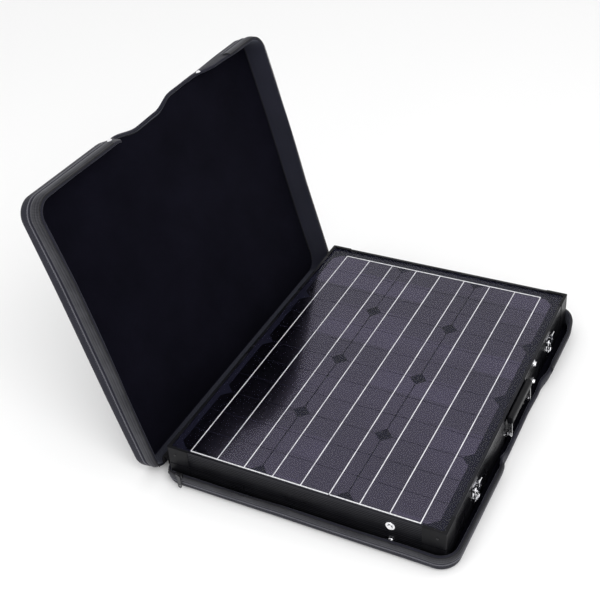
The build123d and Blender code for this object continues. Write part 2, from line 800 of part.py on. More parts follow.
def handle_arms():
    """Flat steel arms from the pins up into the grip."""
    with BuildPart() as arms:
        for end in (-1, 1):
            with BuildSketch(handle_arm_plane(end)):
                with Locations((HANDLE_X, HANDLE_Z)):
                    Circle(4.4)
                handle_arm_outline()
                with Locations((HANDLE_X, HANDLE_Z)):
                    Circle(HANDLE_PIN_R + 0.06, mode=Mode.SUBTRACT)
            extrude(amount=1.6, both=True)
    save(arms.part, "handle_arms")


def handle_grip():
    """Moulded grip with rounded ends and shallow finger grooves underneath."""
    with BuildPart() as grip:
        with BuildSketch(Plane.XZ.offset(-(GRIP_Y - GRIP_L / 2))):
            with Locations((GRIP_X, GRIP_Z)):
                RectangleRounded(11.6, 17, 5)
        extrude(amount=-GRIP_L)
        for k in range(4):
            with BuildSketch(Plane.YZ.offset(GRIP_X)):
                with Locations((GRIP_Y - 36 + 24 * k, GRIP_Z - 24.4)):
                    Circle(17.5)
            extrude(amount=12, both=True, mode=Mode.SUBTRACT)
        ends = grip.faces().filter_by(Axis.Y).sort_by(Axis.Y)
        fillet((ends[0].edges() + ends[-1].edges()), radius=2.6)
        for end in (-1, 1):
            with BuildSketch(handle_arm_plane(end)):
                handle_arm_outline()
            extrude(amount=1.6, both=True, mode=Mode.SUBTRACT)
    save(grip.part, "handle_grip")


def carrying_handle():
    handle_brackets()
    handle_arms()
    handle_grip()


# ---------------------------------------------------------------- build everything
carrying_case()
panel("lower")
panel("upper")
panel_hinges()
draw_latches()
carrying_handle()
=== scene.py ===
"""Looks of the folding solar panel kit: the soft case, the glass, the metalwork and the studio."""
import json
import math

import bpy
from mathutils import Matrix, Vector


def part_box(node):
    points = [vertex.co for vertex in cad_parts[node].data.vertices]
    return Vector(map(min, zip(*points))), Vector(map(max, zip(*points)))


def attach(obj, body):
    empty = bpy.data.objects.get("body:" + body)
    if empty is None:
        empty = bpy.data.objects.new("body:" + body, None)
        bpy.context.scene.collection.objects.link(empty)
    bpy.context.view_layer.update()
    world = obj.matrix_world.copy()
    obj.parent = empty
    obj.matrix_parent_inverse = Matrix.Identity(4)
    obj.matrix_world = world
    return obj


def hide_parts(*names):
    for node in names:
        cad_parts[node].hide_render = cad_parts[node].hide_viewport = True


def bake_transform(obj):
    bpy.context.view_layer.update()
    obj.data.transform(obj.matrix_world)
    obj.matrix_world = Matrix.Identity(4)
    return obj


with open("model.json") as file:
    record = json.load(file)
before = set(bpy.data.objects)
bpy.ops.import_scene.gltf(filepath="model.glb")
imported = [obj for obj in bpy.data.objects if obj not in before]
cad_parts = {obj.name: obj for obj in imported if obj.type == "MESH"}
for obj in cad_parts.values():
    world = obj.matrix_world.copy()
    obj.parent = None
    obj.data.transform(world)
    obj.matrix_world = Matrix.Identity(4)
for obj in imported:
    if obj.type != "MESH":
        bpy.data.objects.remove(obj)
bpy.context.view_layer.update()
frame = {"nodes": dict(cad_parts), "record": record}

MM = 0.001

# ---------------------------------------------------------------- sizes of the case, in metres
LOW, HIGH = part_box("base_wall_band")
LEFT, RIGHT = LOW[0], HIGH[0]
FRONT, BACK = LOW[1], HIGH[1]
MID_X, MID_Y = (LEFT + RIGHT) / 2, (FRONT + BACK) / 2
HALF_X, HALF_Y = (RIGHT - LEFT) / 2, (BACK - FRONT) / 2
BASE_DEPTH = HIGH[2]
LID_DEPTH = 49.5 * MM
CLOSED_TOP = 83.0 * MM - 0.1 * MM
CORNER = 34 * MM
CUT_Y = 17 * MM                   # middle of the base's cut-out for the handle
STUD_REACH = 156 * MM             # the lid's tape and teeth stop this far from there
OPEN = math.radians(104.4)        # angle the lid is open by
AXIS = Vector((-260.5 * MM, 0, 24 * MM))
SPINE_END = 0.322                 # the spine's half length
TWIST = 0.006                     # shut, the lid's front corner stands off this far, the back one sinks
BOW = 0.0065                      # how far the lid's front wall bows inward
ROUND = 0.010                     # radius of the shell's edge
ROUND_ARC = 0.0157                # and the way over it
INSIDE = 0.0052                   # depth of the lining's flat face
TAPE_FOOT = 0.0152                # the base's piping below its rim
TOOTH_PITCH = 0.0024
STITCH_PITCH = 0.0048
CELL_PATCH = (0.158, 0.0532, 1.0)
WAVE = 0.314                      # a wave texture's scale for bands one metre apart
TURN = (
    Matrix.Translation(AXIS)
    @ Matrix.Rotation(OPEN, 4, Vector((0, -1, 0)))
    @ Matrix.Translation(-AXIS)
)


# ---------------------------------------------------------------- small helpers
def smooth(edge0, edge1, x):
    t = min(1.0, max(0.0, (x - edge0) / (edge1 - edge0)))
    return t * t * (3 - 2 * t)


def curve_through(points, x):
    """Smoothly interpolated height at x through a few (x, height) points."""
    if x <= points[0][0]:
        return points[0][1]
    for (x0, y0), (x1, y1) in zip(points, points[1:]):
        if x <= x1:
            return y0 + (y1 - y0) * smooth(x0, x1, x)
    return points[-1][1]


def mesh_object(name, verts, faces, material, uvs=None, shade=True):
    mesh = bpy.data.meshes.new(name)
    mesh.from_pydata([tuple(v) for v in verts], [], faces)
    if uvs:
        layer = mesh.uv_layers.new(name="cloth")
        for loop in mesh.loops:
            layer.data[loop.index].uv = uvs[loop.vertex_index]
    mesh.validate()
    if shade:
        mesh.shade_smooth()
    obj = bpy.data.objects.new(name, mesh)
    bpy.context.scene.collection.objects.link(obj)
    mesh.materials.append(material)
    return obj


def skin(name, rows, material, closed, uvs=None, cap_first=False, cap_last=False):
    """Quads between rows of points; each row has the same number of points."""
    width = len(rows[0])
    verts = [p for row in rows for p in row]
    faces = []
    for r in range(len(rows) - 1):
        for c in range(width if closed else width - 1):
            d = (c + 1) % width
            faces.append((r * width + c, r * width + d, (r + 1) * width + d, (r + 1) * width + c))
    if cap_first:
        faces.append(tuple(reversed(range(width))))
    if cap_last:
        start = (len(rows) - 1) * width
        faces.append(tuple(range(start, start + width)))
    return mesh_object(name, verts, faces, material, uvs)


# ---------------------------------------------------------------- materials
def material(name, color, rough, metallic=0.0, **sockets):
    """A principled material with the constants set on the shader's own sockets."""
    mat = bpy.data.materials.new(name)
    mat.use_nodes = True
    tree = mat.node_tree
    shader = tree.nodes["Principled BSDF"]
    shader.inputs["Base Color"].default_value = (*color, 1)
    shader.inputs["Roughness"].default_value = rough
    shader.inputs["Metallic"].default_value = metallic
    for socket, value in sockets.items():
        shader.inputs[socket.replace("_", " ")].default_value = value
    return mat


def add(mat, kind, **inputs):
    """A node with its inputs set by name or linked from a socket."""
    tree = mat.node_tree
    node = tree.nodes.new(kind)
    for key, value in inputs.items():
        if hasattr(node, key) and key not in node.inputs:
            setattr(node, key, value)
            continue
        name = key.replace("_", " ")
        if isinstance(value, bpy.types.NodeSocket):
            tree.links.new(value, node.inputs[name])
        else:
            node.inputs[name].default_value = value
    return node


def maths(mat, operation, a, b=0.0):
    node = mat.node_tree.nodes.new("ShaderNodeMath")
    node.operation = operation
    for k, value in enumerate((a, b)):
        if isinstance(value, bpy.types.NodeSocket):
            mat.node_tree.links.new(value, node.inputs[k])
        else:
            node.inputs[k].default_value = value
    return node.outputs[0]


def ramp(mat, factor, *stops):
    node = mat.node_tree.nodes.new("ShaderNodeValToRGB")
    mat.node_tree.links.new(factor, node.inputs[0])
    elements = node.color_ramp.elements
    while len(elements) < len(stops):
        elements.new(0.5)
    for element, (place, color) in zip(elements, stops):
        element.position = place
        element.color = (*color, 1)
    return node.outputs["Color"]


def to_shader(mat, socket, name):
    shader = mat.node_tree.nodes["Principled BSDF"]
    mat.node_tree.links.new(socket, shader.inputs[name])


def coordinates(mat, kind="Object"):
    return mat.node_tree.nodes.new("ShaderNodeTexCoord").outputs[kind]


def scaled(mat, vector, scale):
    node = add(mat, "ShaderNodeMapping", Vector=vector)
    node.inputs["Scale"].default_value = scale
    return node.outputs[0]


def bump(mat, height, strength, distance, under=None):
    node = add(mat, "ShaderNodeBump", Height=height, Strength=strength, Distance=distance)
    if under is not None:
        mat.node_tree.links.new(under, node.inputs["Normal"])
    to_shader(mat, node.outputs[0], "Normal")
    return node.outputs[0]


def noise_at(mat, vector, scale, detail=3.0, rough=0.55):
    node = add(mat, "ShaderNodeTexNoise", Vector=vector, Scale=scale, Detail=detail, Roughness=rough)
    return node.outputs["Fac"]


def woven(name, dark, light, pitch, rough, slope=0.5, sheen=0.3, tint=(1, 1, 1)):
    """Plain weave over UVs in metres, with slubs and blotches."""
    mat = material(name, dark, rough, Sheen_Weight=sheen, Sheen_Roughness=0.5,
                   Sheen_Tint=(*tint, 1), Specular_IOR_Level=0.12)
    uv = coordinates(mat, "UV")
    wave = WAVE / pitch
    warp = add(mat, "ShaderNodeTexWave", Vector=uv, Scale=wave, Distortion=0.6, bands_direction="X")
    weft = add(mat, "ShaderNodeTexWave", Vector=uv, Scale=wave, Distortion=0.6, bands_direction="Y")
    threads = maths(mat, "MULTIPLY", warp.outputs["Fac"], weft.outputs["Fac"])
    place = coordinates(mat)
    blotch = noise_at(mat, place, 14, 5)
    slub = noise_at(mat, scaled(mat, uv, (60, 900, 1)), 1.0, 2)
    mixed = maths(mat, "ADD", maths(mat, "MULTIPLY", threads, 0.45),
                  maths(mat, "ADD", maths(mat, "MULTIPLY", blotch, 0.4),
                        maths(mat, "MULTIPLY", slub, 0.25)))
    to_shader(mat, ramp(mat, mixed, (0.2, dark), (0.8, light)), "Base Color")
    under = bump(mat, blotch, 0.25, 0.004)
    bump(mat, threads, slope, pitch * 0.25, under)
    return mat


def metal(name, color, rough, grain=0.08):
    """Bare metal with fine grain in its gloss."""
    mat = material(name, color, rough, 1.0)
    place = scaled(mat, coordinates(mat), (600, 600, 600))
    fine = noise_at(mat, place, 1.0, 4)
    low = max(0.02, rough - grain)
    to_shader(mat, ramp(mat, fine, (0.3, (low,) * 3), (0.75, (rough + grain,) * 3)), "Roughness")
    bump(mat, fine, 0.08, 0.0002)
    return mat


def plastic(name, color, rough, pebble=0.0006, slope=0.3):
    """Moulded plastic or rubber: a pebbled skin with slightly lighter patches, partly wear and partly
    painted sheen.
    """
    mat = material(name, color, rough, Specular_IOR_Level=0.1)
    place = coordinates(mat)
    grain = noise_at(mat, place, 1 / pebble, 2)
    wear_and_sheen = noise_at(mat, place, 22, 5)
    # lighter patches in the base colour: partly wear, partly painted sheen
    bright = tuple(min(1, c * 1.5 + 0.004) for c in color)
    to_shader(mat, ramp(mat, wear_and_sheen, (0.35, color), (0.8, bright)), "Base Color")
    gloss = ramp(mat, wear_and_sheen, (0.3, (rough - 0.06,) * 3), (0.7, (rough + 0.08,) * 3))
    to_shader(mat, gloss, "Roughness")
    bump(mat, grain, slope, pebble * 0.4)
    return mat


def velvet_material():
    """Dark plush: an uneven nap over a short pile, with a little lint."""
    mat = material("velvet", (0.004, 0.004, 0.005), 0.95, Sheen_Weight=0.04, Sheen_Roughness=0.35,
                   Sheen_Tint=(0.75, 0.8, 1.0, 1), Specular_IOR_Level=0.03)
    place = coordinates(mat)
    pile = noise_at(mat, place, 1500, 2)
    nap = noise_at(mat, scaled(mat, place, (9, 9, 9)), 1.0, 5, 0.6)
    lint = noise_at(mat, place, 420, 2)
    mixed = maths(mat, "ADD", maths(mat, "MULTIPLY", nap, 0.6), maths(mat, "MULTIPLY", lint, 0.4))
    to_shader(mat, ramp(mat, mixed, (0.35, (0.0020, 0.0019, 0.0042)), (0.75, (0.0050, 0.0047, 0.0095))),
              "Base Color")
    under = bump(mat, nap, 0.15, 0.004)
    bump(mat, pile, 0.5, 0.0005, under)
    return mat


def anodised_material():
    """Black anodised extrusion with fine painted highlight lines along the rails, at a pitch of their
    own.
    """
    mat = material("anodised", (0.008, 0.008, 0.010), 0.3, 0.8, Specular_IOR_Level=0.25)
    place = coordinates(mat)
    lines = noise_at(mat, scaled(mat, place, (1800, 14, 1800)), 1.0, 2)
    smudge = noise_at(mat, place, 16, 4)
    # painted highlight: lighter lines in the base colour every 4.1 mm of height, not on the modelled
    # grooves
    highlight_bands = add(mat, "ShaderNodeTexWave", Vector=place, Scale=WAVE / 0.0041, bands_direction="Z")
    painted_highlight = maths(mat, "MULTIPLY", maths(mat, "POWER", highlight_bands.outputs["Fac"], 6), 0.9)
    mixed = maths(mat, "ADD", maths(mat, "MULTIPLY", smudge, 0.3), painted_highlight)
    to_shader(mat, ramp(mat, mixed, (0.1, (0.005, 0.005, 0.007)), (0.9, (0.045, 0.045, 0.053))),
              "Base Color")
    to_shader(mat, ramp(mat, smudge, (0.3, (0.24,) * 3), (0.75, (0.38,) * 3)), "Roughness")
    bump(mat, lines, 0.05, 0.0002)
    return mat


def glass_material():
    """Glossy cover glass: mostly see-through, with faint smears in its gloss."""
    mat = material("solar_glass", (0.006, 0.006, 0.010), 0.03, IOR=1.6, Alpha=0.06)
    smear = noise_at(mat, coordinates(mat), 9, 5, 0.6)
    to_shader(mat, ramp(mat, smear, (0.35, (0.025,) * 3), (0.7, (0.08,) * 3)), "Roughness")
    return mat


def cell_material():
    """Silicon with its dark blue coating; patches as large as a cell differ a little in tone."""
    mat = material("cells", (0.08, 0.074, 0.105), 0.14, 1.0)
    place = coordinates(mat)
    snap = add(mat, "ShaderNodeVectorMath", operation="SNAP")
    mat.node_tree.links.new(place, snap.inputs[0])
    snap.inputs[1].default_value = CELL_PATCH
    pick = add(mat, "ShaderNodeTexWhiteNoise", Vector=snap.outputs["Vector"])
    tone = noise_at(mat, scaled(mat, place, (5, 7, 5)), 1.0, 3)
    mixed = maths(mat, "ADD", maths(mat, "MULTIPLY", pick.outputs["Value"], 0.4),
                  maths(mat, "MULTIPLY", tone, 0.6))
    to_shader(mat, ramp(mat, mixed, (0.25, (0.066, 0.062, 0.086)), (0.5, (0.080, 0.073, 0.106)),
                        (0.75, (0.098, 0.088, 0.135))), "Base Color")
    return mat


def ribbon_material():
    """Tinned copper, bright and a little uneven along its length."""
    mat = material("ribbon", (0.9, 0.9, 0.93), 0.3, 0.15, Specular_IOR_Level=0.8)
    solder = noise_at(mat, scaled(mat, coordinates(mat), (300, 40, 300)), 1.0, 3)
    to_shader(mat, ramp(mat, solder, (0.3, (0.62, 0.61, 0.66)), (0.6, (0.97, 0.97, 1.0))), "Base Color")
    return mat


def tape_material():
    """Woven zip tape: fine ribs across it and rows along it."""
    mat = material("zip_tape", (0.05, 0.05, 0.052), 0.7, Sheen_Weight=0.15, Sheen_Roughness=0.4,
                   Sheen_Tint=(0.9, 0.92, 1.0, 1), Specular_IOR_Level=0.15)
    uv = coordinates(mat, "UV")
    ribs = add(mat, "ShaderNodeTexWave", Vector=uv, Scale=WAVE / 0.0022, bands_direction="X",
               Distortion=0.4)
    rows = add(mat, "ShaderNodeTexWave", Vector=uv, Scale=WAVE / 0.0028, bands_direction="Y")
    threads = maths(mat, "ADD", maths(mat, "MULTIPLY", ribs.outputs["Fac"], 0.6),
                    maths(mat, "MULTIPLY", rows.outputs["Fac"], 0.4))
    shade = noise_at(mat, coordinates(mat), 30, 4)
    mixed = maths(mat, "ADD", maths(mat, "MULTIPLY", threads, 0.5), maths(mat, "MULTIPLY", shade, 0.5))
    to_shader(mat, ramp(mat, mixed, (0.3, (0.010, 0.010, 0.013)), (0.75, (0.055, 0.055, 0.062))),
              "Base Color")
    bump(mat, threads, 0.6, 0.0004)
    return mat


MATS = {
    "shell_cloth": woven("shell_cloth", (0.005, 0.005, 0.010), (0.018, 0.018, 0.031), 0.0011, 0.6,
                         0.5, 0.06),
    "spine_cloth": woven("spine_cloth", (0.004, 0.004, 0.005), (0.012, 0.012, 0.014), 0.0011, 0.8,
                         0.5, 0.05),
    "velvet": velvet_material(),
    "lining_wall": woven("lining_wall", (0.007, 0.007, 0.012), (0.021, 0.021, 0.036), 0.0009, 0.42,
                         0.3, 0.3, (0.8, 0.85, 1.0)),
    "piping": woven("piping", (0.05, 0.05, 0.062), (0.15, 0.15, 0.175), 0.0008, 0.5, 0.4),
    "zip_tape": tape_material(),
    "zip_chain": plastic("zip_chain", (0.022, 0.022, 0.024), 0.32, 0.0004, 0.1),
    "chrome": metal("chrome", (0.86, 0.86, 0.88), 0.10, 0.05),
    "steel": metal("steel", (0.42, 0.42, 0.43), 0.3),
    "grip_rubber": plastic("grip_rubber", (0.004, 0.004, 0.005), 0.38, 0.0008, 0.4),
    "slider_metal": metal("slider_metal", (0.09, 0.09, 0.095), 0.35),
    "anodised": anodised_material(),
    "black_plastic": plastic("black_plastic", (0.004, 0.004, 0.005), 0.36, 0.0005, 0.25),
    "backsheet": material("backsheet", (0.010, 0.010, 0.020), 0.2, Specular_IOR_Level=0.14),
    "solar_glass": glass_material(),
    "seal": plastic("seal", (0.012, 0.012, 0.012), 0.5, 0.0008, 0.2),
    "cells": cell_material(),
    "ribbon": ribbon_material(),
    "box_plastic": plastic("box_plastic", (0.018, 0.018, 0.018), 0.5),
    "zinc": metal("zinc", (0.62, 0.62, 0.64), 0.3),
    "foot_rubber": plastic("foot_rubber", (0.014, 0.014, 0.014), 0.7),
    "hinge_steel": metal("hinge_steel", (0.05, 0.05, 0.052), 0.38),
}


def dress_cad_nodes():
    """Every carried-over CAD node takes the material of its slot."""
    for part in frame["record"]["subparts"]:
        node = frame["nodes"][part["node"]]
        node.data.materials.clear()
        node.data.materials.append(MATS[part["material_slot"]])


# ---------------------------------------------------------------- the soft case
class Half:
    """One half of the case.  depth runs from its outer face to its rim."""

    def __init__(self, name, depth):
        self.name = name
        self.depth = depth
        self.is_lid = name == "lid"
        self.body = "case_lid" if self.is_lid else "case_base"
        self.tape_share = 1.75 if self.is_lid else 1.0

    def rim(self, x, y):
        """Depth of the rim at a place in plan: lower at the handle and along the spine."""
        handle = smooth(RIGHT - 60 * MM, RIGHT - 25 * MM, x)
        spine = 1 - smooth(LEFT + 8 * MM, LEFT + 26 * MM, x)
        if self.is_lid:
            low = curve_through(
                ((-0.150, 0), (-0.118, 0.004), (-0.100, 0.039), (-0.04, 0.0435), (0.03, 0.0435),
                 (0.085, 0.040), (0.155, 0.033), (0.20, 0.012), (0.27, 0)), y)
        else:
            low = curve_through(
                ((-0.150, 0), (-0.105, 0.005), (-0.062, 0.017), (0.096, 0.017), (0.14, 0.005),
                 (0.185, 0)), y)
        wave = 0.0010 * math.sin(y * 19 + x * 11) + 0.0006 * math.sin(y * 47 - x * 31)
        return self.depth - low * handle - 12 * MM * spine + wave * (1 - spine)

    def give(self, x, y, depth):
        """How soft cloth over board strays from the ideal shape."""
        up = depth / self.depth
        right = smooth(RIGHT - 90 * MM, RIGHT - 5 * MM, x)
        if self.is_lid:
            scoop = curve_through(
                ((-0.140, 0), (-0.10, 0.007), (-0.03, 0.020), (0.03, 0.019), (0.085, 0.004),
                 (0.16, 0.002), (0.26, 0)), y)
            x -= scoop * right
            side = smooth(HALF_Y - 60 * MM, HALF_Y, abs(y))
            y += math.copysign(0.0012 * math.sin(x * 17 + 1) * side * up, y)
            depth += 0.0012 * math.sin(x * 13) * side
            middle = max(0.0, math.sin(math.pi * (x - LEFT) / (2 * HALF_X)))
            y += BOW * middle * smooth(0, 1, up) * smooth(-HALF_Y + 60 * MM, -HALF_Y, y)
        else:
            bulge = curve_through(
                ((-0.35, -0.003), (-0.30, -0.001), (-0.20, 0.0008), (-0.125, 0.002),
                 (-0.09, -0.006), (0.05, -0.0085), (0.12, -0.004), (0.16, 0.005), (0.27, 0.006),
                 (0.345, -0.004)), y)
            x += bulge * right * (0.4 + 0.6 * up)
            side = smooth(HALF_Y - 60 * MM, HALF_Y, abs(y))
            y += math.copysign((0.0022 * math.sin(x * 12 + 0.6) - 0.0006) * side * up, y)
        return x, y, depth

    def place(self, x, y, depth):
        """A soft point in the row frame."""
        x, y, depth = self.give(x, y, depth)
        if not self.is_lid:
            return Vector((x, y, depth))
        twist = TWIST * (x - LEFT) / (2 * HALF_X) * (-y / HALF_Y)
        return TURN @ Vector((x, y, CLOSED_TOP - depth + twist))


def outline(offset, spacing=0.007):
    """(x, y, along) round the plan outline, offset outwards, from the front hinge-side corner."""
    radius = CORNER + offset if CORNER + offset > 0.002 else 0.002
    hx, hy = HALF_X + offset, HALF_Y + offset
    points = []
    along = 0.0
    corner_at = CORNER * math.pi / 2
    pieces = []
    straight = (2 * (HALF_Y - CORNER), 2 * (HALF_X - CORNER))
    centres = ((-1, -1), (1, -1), (1, 1), (-1, 1))
    for k, (sx, sy) in enumerate(centres):
        pieces.append(("corner", sx, sy, k))
        pieces.append(("side", sx, sy, k))
    for kind, sx, sy, k in pieces:
        cx, cy = MID_X + sx * (hx - radius), MID_Y + sy * (hy - radius)
        start = math.pi + k * math.pi / 2
        if kind == "corner":
            steps = 12
            for n in range(steps):
                a = start + n / steps * math.pi / 2
                points.append((cx + radius * math.cos(a), cy + radius * math.sin(a),
                               along + corner_at * n / steps))
            along += corner_at
        else:
            a = start + math.pi / 2
            nx, ny = centres[(k + 1) % 4]
            ex, ey = MID_X + nx * (hx - radius), MID_Y + ny * (hy - radius)
            length = straight[1] if k % 2 == 0 else straight[0]
            steps = round(length / spacing)
            for n in range(steps):
                t = n / steps
                points.append((cx + (ex - cx) * t + radius * math.cos(a),
                               cy + (ey - cy) * t + radius * math.sin(a), along + length * t))
            along += length
    return points, along


def plan(half, offset, depth_at):
    """One row of a skin: depth_at(x, y, rim depth) gives each point's depth."""
    points, _ = outline(offset)
    edge, _ = outline(0)
    row = []
    for (x, y, _), (ex, ey, _) in zip(points, edge):
        row.append(half.place(x, y, depth_at(ex, ey, half.rim(ex, ey))))
    return row


def case_uvs(stations):
    points, _ = outline(0)
    uvs = []
    for across in stations:
        uvs += [(along, across) for _, _, along in points]
    return uvs


def shell(half):
    """Padded outer skin: the big face, the rounded edge, the wall and its rolled top."""
    rows, across = [], []
    for inset in (0.255, 0.2, 0.15, 0.1, 0.06, 0.03, 0.016):
        rows.append(plan(half, -inset, lambda x, y, r: 0.0004 * math.sin(9 * x) ** 2))
        across.append(-inset)
    for step in range(7):
        a = step / 6 * math.pi / 2
        rows.append(plan(half, -ROUND * (1 - math.sin(a)),
                         lambda x, y, r, a=a: min(ROUND, r * 0.5) * (1 - math.cos(a))))
        across.append(-ROUND + ROUND_ARC * step / 6)
    for f in (0.15, 0.3, 0.45, 0.6, 0.75, 0.9, 1.0):
        belly = 0.0009 * math.sin(f * math.pi)
        rows.append(plan(half, belly,
                         lambda x, y, r, f=f: min(ROUND, r * 0.5) * (1 - f) + (r - 0.0015) * f))
        across.append(0.006 + half.depth * f)
    for step in range(1, 7):
        a = step / 6 * math.pi
        rows.append(plan(half, -0.0024 * (1 - math.cos(a)),
                         lambda x, y, r, a=a: r - 0.0015 + 0.0015 * math.sin(a)))
        across.append(0.006 + half.depth + 0.0012 * step)
    return skin(f"{half.name}_shell", rows, MATS["shell_cloth"], True, case_uvs(across),
                cap_first=True)


def lining(half):
    """Velvet over foam inside: down from the rim, a soft inner edge and the flat."""
    rows, across = [], []
    for f in (0.0, 0.25, 0.5, 0.75):
        rows.append(plan(half, -0.0047 - 0.0006 * math.sin(f * 3),
                         lambda x, y, r, f=f: (r - 0.0005) * (1 - f) + (INSIDE + 0.003) * f))
        across.append(half.depth * f)
    for step in range(5):
        a = step / 4 * math.pi / 2
        rows.append(plan(half, -0.0052 - 0.003 * (1 - math.cos(a)),
                         lambda x, y, r, a=a: INSIDE + 0.003 * (1 - math.sin(a))))
        across.append(half.depth + 0.001 * step)
    for inset in (0.012, 0.02, 0.04, 0.08, 0.13, 0.18, 0.22, 0.255):
        puff = 0.0005 if half.is_lid else 0.0
        rows.append(plan(half, -inset,
                         lambda x, y, r, p=puff:
                         INSIDE + p * (1 + math.sin(7 * x) * math.cos(9 * y))))
        across.append(half.depth + inset)
    piece = skin(f"{half.name}_velvet", rows, MATS["velvet"], True, case_uvs(across), cap_last=True)
    piece.data.materials.append(MATS["lining_wall"])
    for face in piece.data.polygons[:5 * len(rows[0])]:
        face.material_index = 1
    return piece


def stretch(half, offset, depth_at, skip_cut):
    """Runs of (point, along, place in plan) round the three zipped sides, without the spine."""
    points, _ = outline(offset)
    edge, _ = outline(0)
    runs, run = [], []
    for (x, y, _), (ex, ey, along) in zip(points, edge):
        hidden = ex < LEFT + 14 * MM
        if skip_cut and ex > RIGHT - 30 * MM:
            by_studs = half.is_lid and abs(ey - CUT_Y) < STUD_REACH
            hidden = hidden or by_studs or half.rim(ex, ey) < half.depth - 4.5 * MM
        if hidden:
            if len(run) > 3:
                runs.append(run)
            run = []
            continue
        run.append((half.place(x, y, depth_at(ex, ey, half.rim(ex, ey))), along, (ex, ey)))
    if len(run) > 3:
        runs.append(run)
    return runs


def zip_tape(half):
    """Bulged woven band below the rim, one piece each side of the handle cut-out."""
    pieces = []
    stations = ((-0.0004, 0.0126), (0.0014, 0.0119), (0.0028, 0.0096), (0.0036, 0.0071),
                (0.0034, 0.0047), (0.0024, 0.0026), (0.0008, 0.0012), (-0.0006, 0.0004))
    share = half.tape_share
    columns = [stretch(half, off, lambda x, y, r, d=d: half.depth - d * share, True)
               for off, d in stations]
    for k in range(len(columns[0])):
        rows = [[p for p, _, _ in column[k]] for column in columns]
        uvs = []
        for (_, d), column in zip(stations, columns):
            uvs += [(along, d) for _, along, _ in column[k]]
        pieces.append(skin(f"{half.name}_tape_{k + 1}", rows, MATS["zip_tape"], False, uvs))
    return pieces


def bead(half, name, offset, drop, radius, mat, skip_cut=True, from_rim=True, sides=8):
    """Round cord sewn along the wall: piping, or the lining's seam."""
    pieces = []
    runs = stretch(half, offset, lambda x, y, r: (half.depth if from_rim else 0) + drop, skip_cut)
    for k, run in enumerate(runs):
        rows, uvs = [], []
        inner = stretch(half, offset - 0.004,
                        lambda x, y, r: (half.depth if from_rim else 0) + drop, skip_cut)[k]
        for n, (p, along, _) in enumerate(run):
            ahead = run[min(n + 1, len(run) - 1)][0] - run[max(n - 1, 0)][0]
            side = (p - inner[n][0]).normalized()
            third = ahead.cross(side).normalized()
            ring = [p + side * radius * math.cos(a) + third * radius * math.sin(a)
                    for a in (2 * math.pi * s / sides for s in range(sides))]
            rows.append(ring)
            uvs += [(along, 0.001 * s) for s in range(sides)]
        pieces.append(skin(f"{half.name}_{name}_{k + 1}", rows, mat, True, uvs,
                           cap_first=True, cap_last=True))
    return pieces


def zip_teeth(half):
    """Zip teeth along the rim: a small block at every TOOTH_PITCH."""
    verts, faces = [], []
    for run in stretch(half, 0.0006, lambda x, y, r: half.depth - 0.0006, True):
        spots = [p for p, _, _ in run]
        out = stretch(half, 0.0046, lambda x, y, r: half.depth - 0.0006, True)
        edge = [p for p, _, _ in out[0]] if len(out[0]) == len(run) else [p for p, _, _ in out[-1]]
        carried = 0.0
        for n in range(len(spots) - 1):
            a, b = spots[n], spots[n + 1]
            length = (b - a).length
            forward = (b - a).normalized()
            side = (edge[n] - a).normalized()
            rise = forward.cross(side).normalized()
            while carried < length:
                c = a + forward * carried
                start = len(verts)
                for f, s, r in ((-1, -1, -1), (1, -1, -1), (1, 1, -1), (-1, 1, -1),
                                (-1, -1, 1), (1, -1, 1), (1, 1, 1), (-1, 1, 1)):
                    taper = 0.75 if r > 0 else 1.0
                    verts.append(c + forward * 0.0008 * f * taper + side * 0.0014 * s * taper
                                 + rise * 0.0009 * r)
                for q in ((0, 3, 2, 1), (4, 5, 6, 7), (0, 1, 5, 4), (1, 2, 6, 5), (2, 3, 7, 6),
                          (3, 0, 4, 7)):
                    faces.append(tuple(start + i for i in q))
                carried += TOOTH_PITCH
            carried -= length
    return mesh_object(f"{half.name}_zip_teeth", verts, faces, MATS["zip_chain"], shade=False)


def stitches(half, name, offset, drop, mat):
    """Short raised threads in a row along a seam; their raised side is that of a shut case."""
    verts, faces = [], []
    for run in stretch(half, offset, lambda x, y, r: half.depth - drop, True):
        carried = 0.0
        for n in range(len(run) - 1):
            a, b = run[n][0], run[n + 1][0]
            length = (b - a).length
            forward = (b - a).normalized()
            out = Vector((run[n][2][0] - MID_X, run[n][2][1] - MID_Y, 0))
            across = forward.cross(out.normalized()).normalized()
            side = across.cross(forward).normalized()
            while carried < length:
                c = a + forward * carried
                start = len(verts)
                for f, h, w in ((-1.6, -0.2, 0), (-0.8, 0.35, 0.3), (0.8, 0.35, 0.3), (1.6, -0.2, 0),
                                (0.8, 0.35, -0.3), (-0.8, 0.35, -0.3)):
                    verts.append(c + forward * f * MM + side * h * MM + across * w * MM)
                faces.append((start, start + 1, start + 5))
                faces.append((start + 1, start + 2, start + 4, start + 5))
                faces.append((start + 2, start + 3, start + 4))
                carried += STITCH_PITCH
            carried -= length
    return mesh_object(f"{half.name}_{name}", verts, faces, mat)


def build_half(half):
    name = half.name
    outer = shell(half)
    inner = lining(half)
    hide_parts(f"{name}_panel", f"{name}_wall_band")
    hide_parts(f"{name}_lining")
    tapes = zip_tape(half)
    for piece in tapes:
        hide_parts(f"{name}_zip_tape")
    piping = bead(half, "piping", 0.0013, -TAPE_FOOT * half.tape_share, 0.0010, MATS["piping"])
    for piece in piping:
        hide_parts(f"{name}_piping")
    seam = bead(half, "lining_seam", -0.0062, 0.0066, 0.0009, MATS["spine_cloth"],
                skip_cut=False, from_rim=False, sides=6)
    teeth = zip_teeth(half)
    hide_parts(f"{name}_zip_chain")
    thread = stitches(half, "stitches", 0.0011, TAPE_FOOT * half.tape_share + 0.0026, MATS["piping"])
    for piece in [outer, inner, teeth, thread] + tapes + piping + seam:
        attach(piece, half.body)


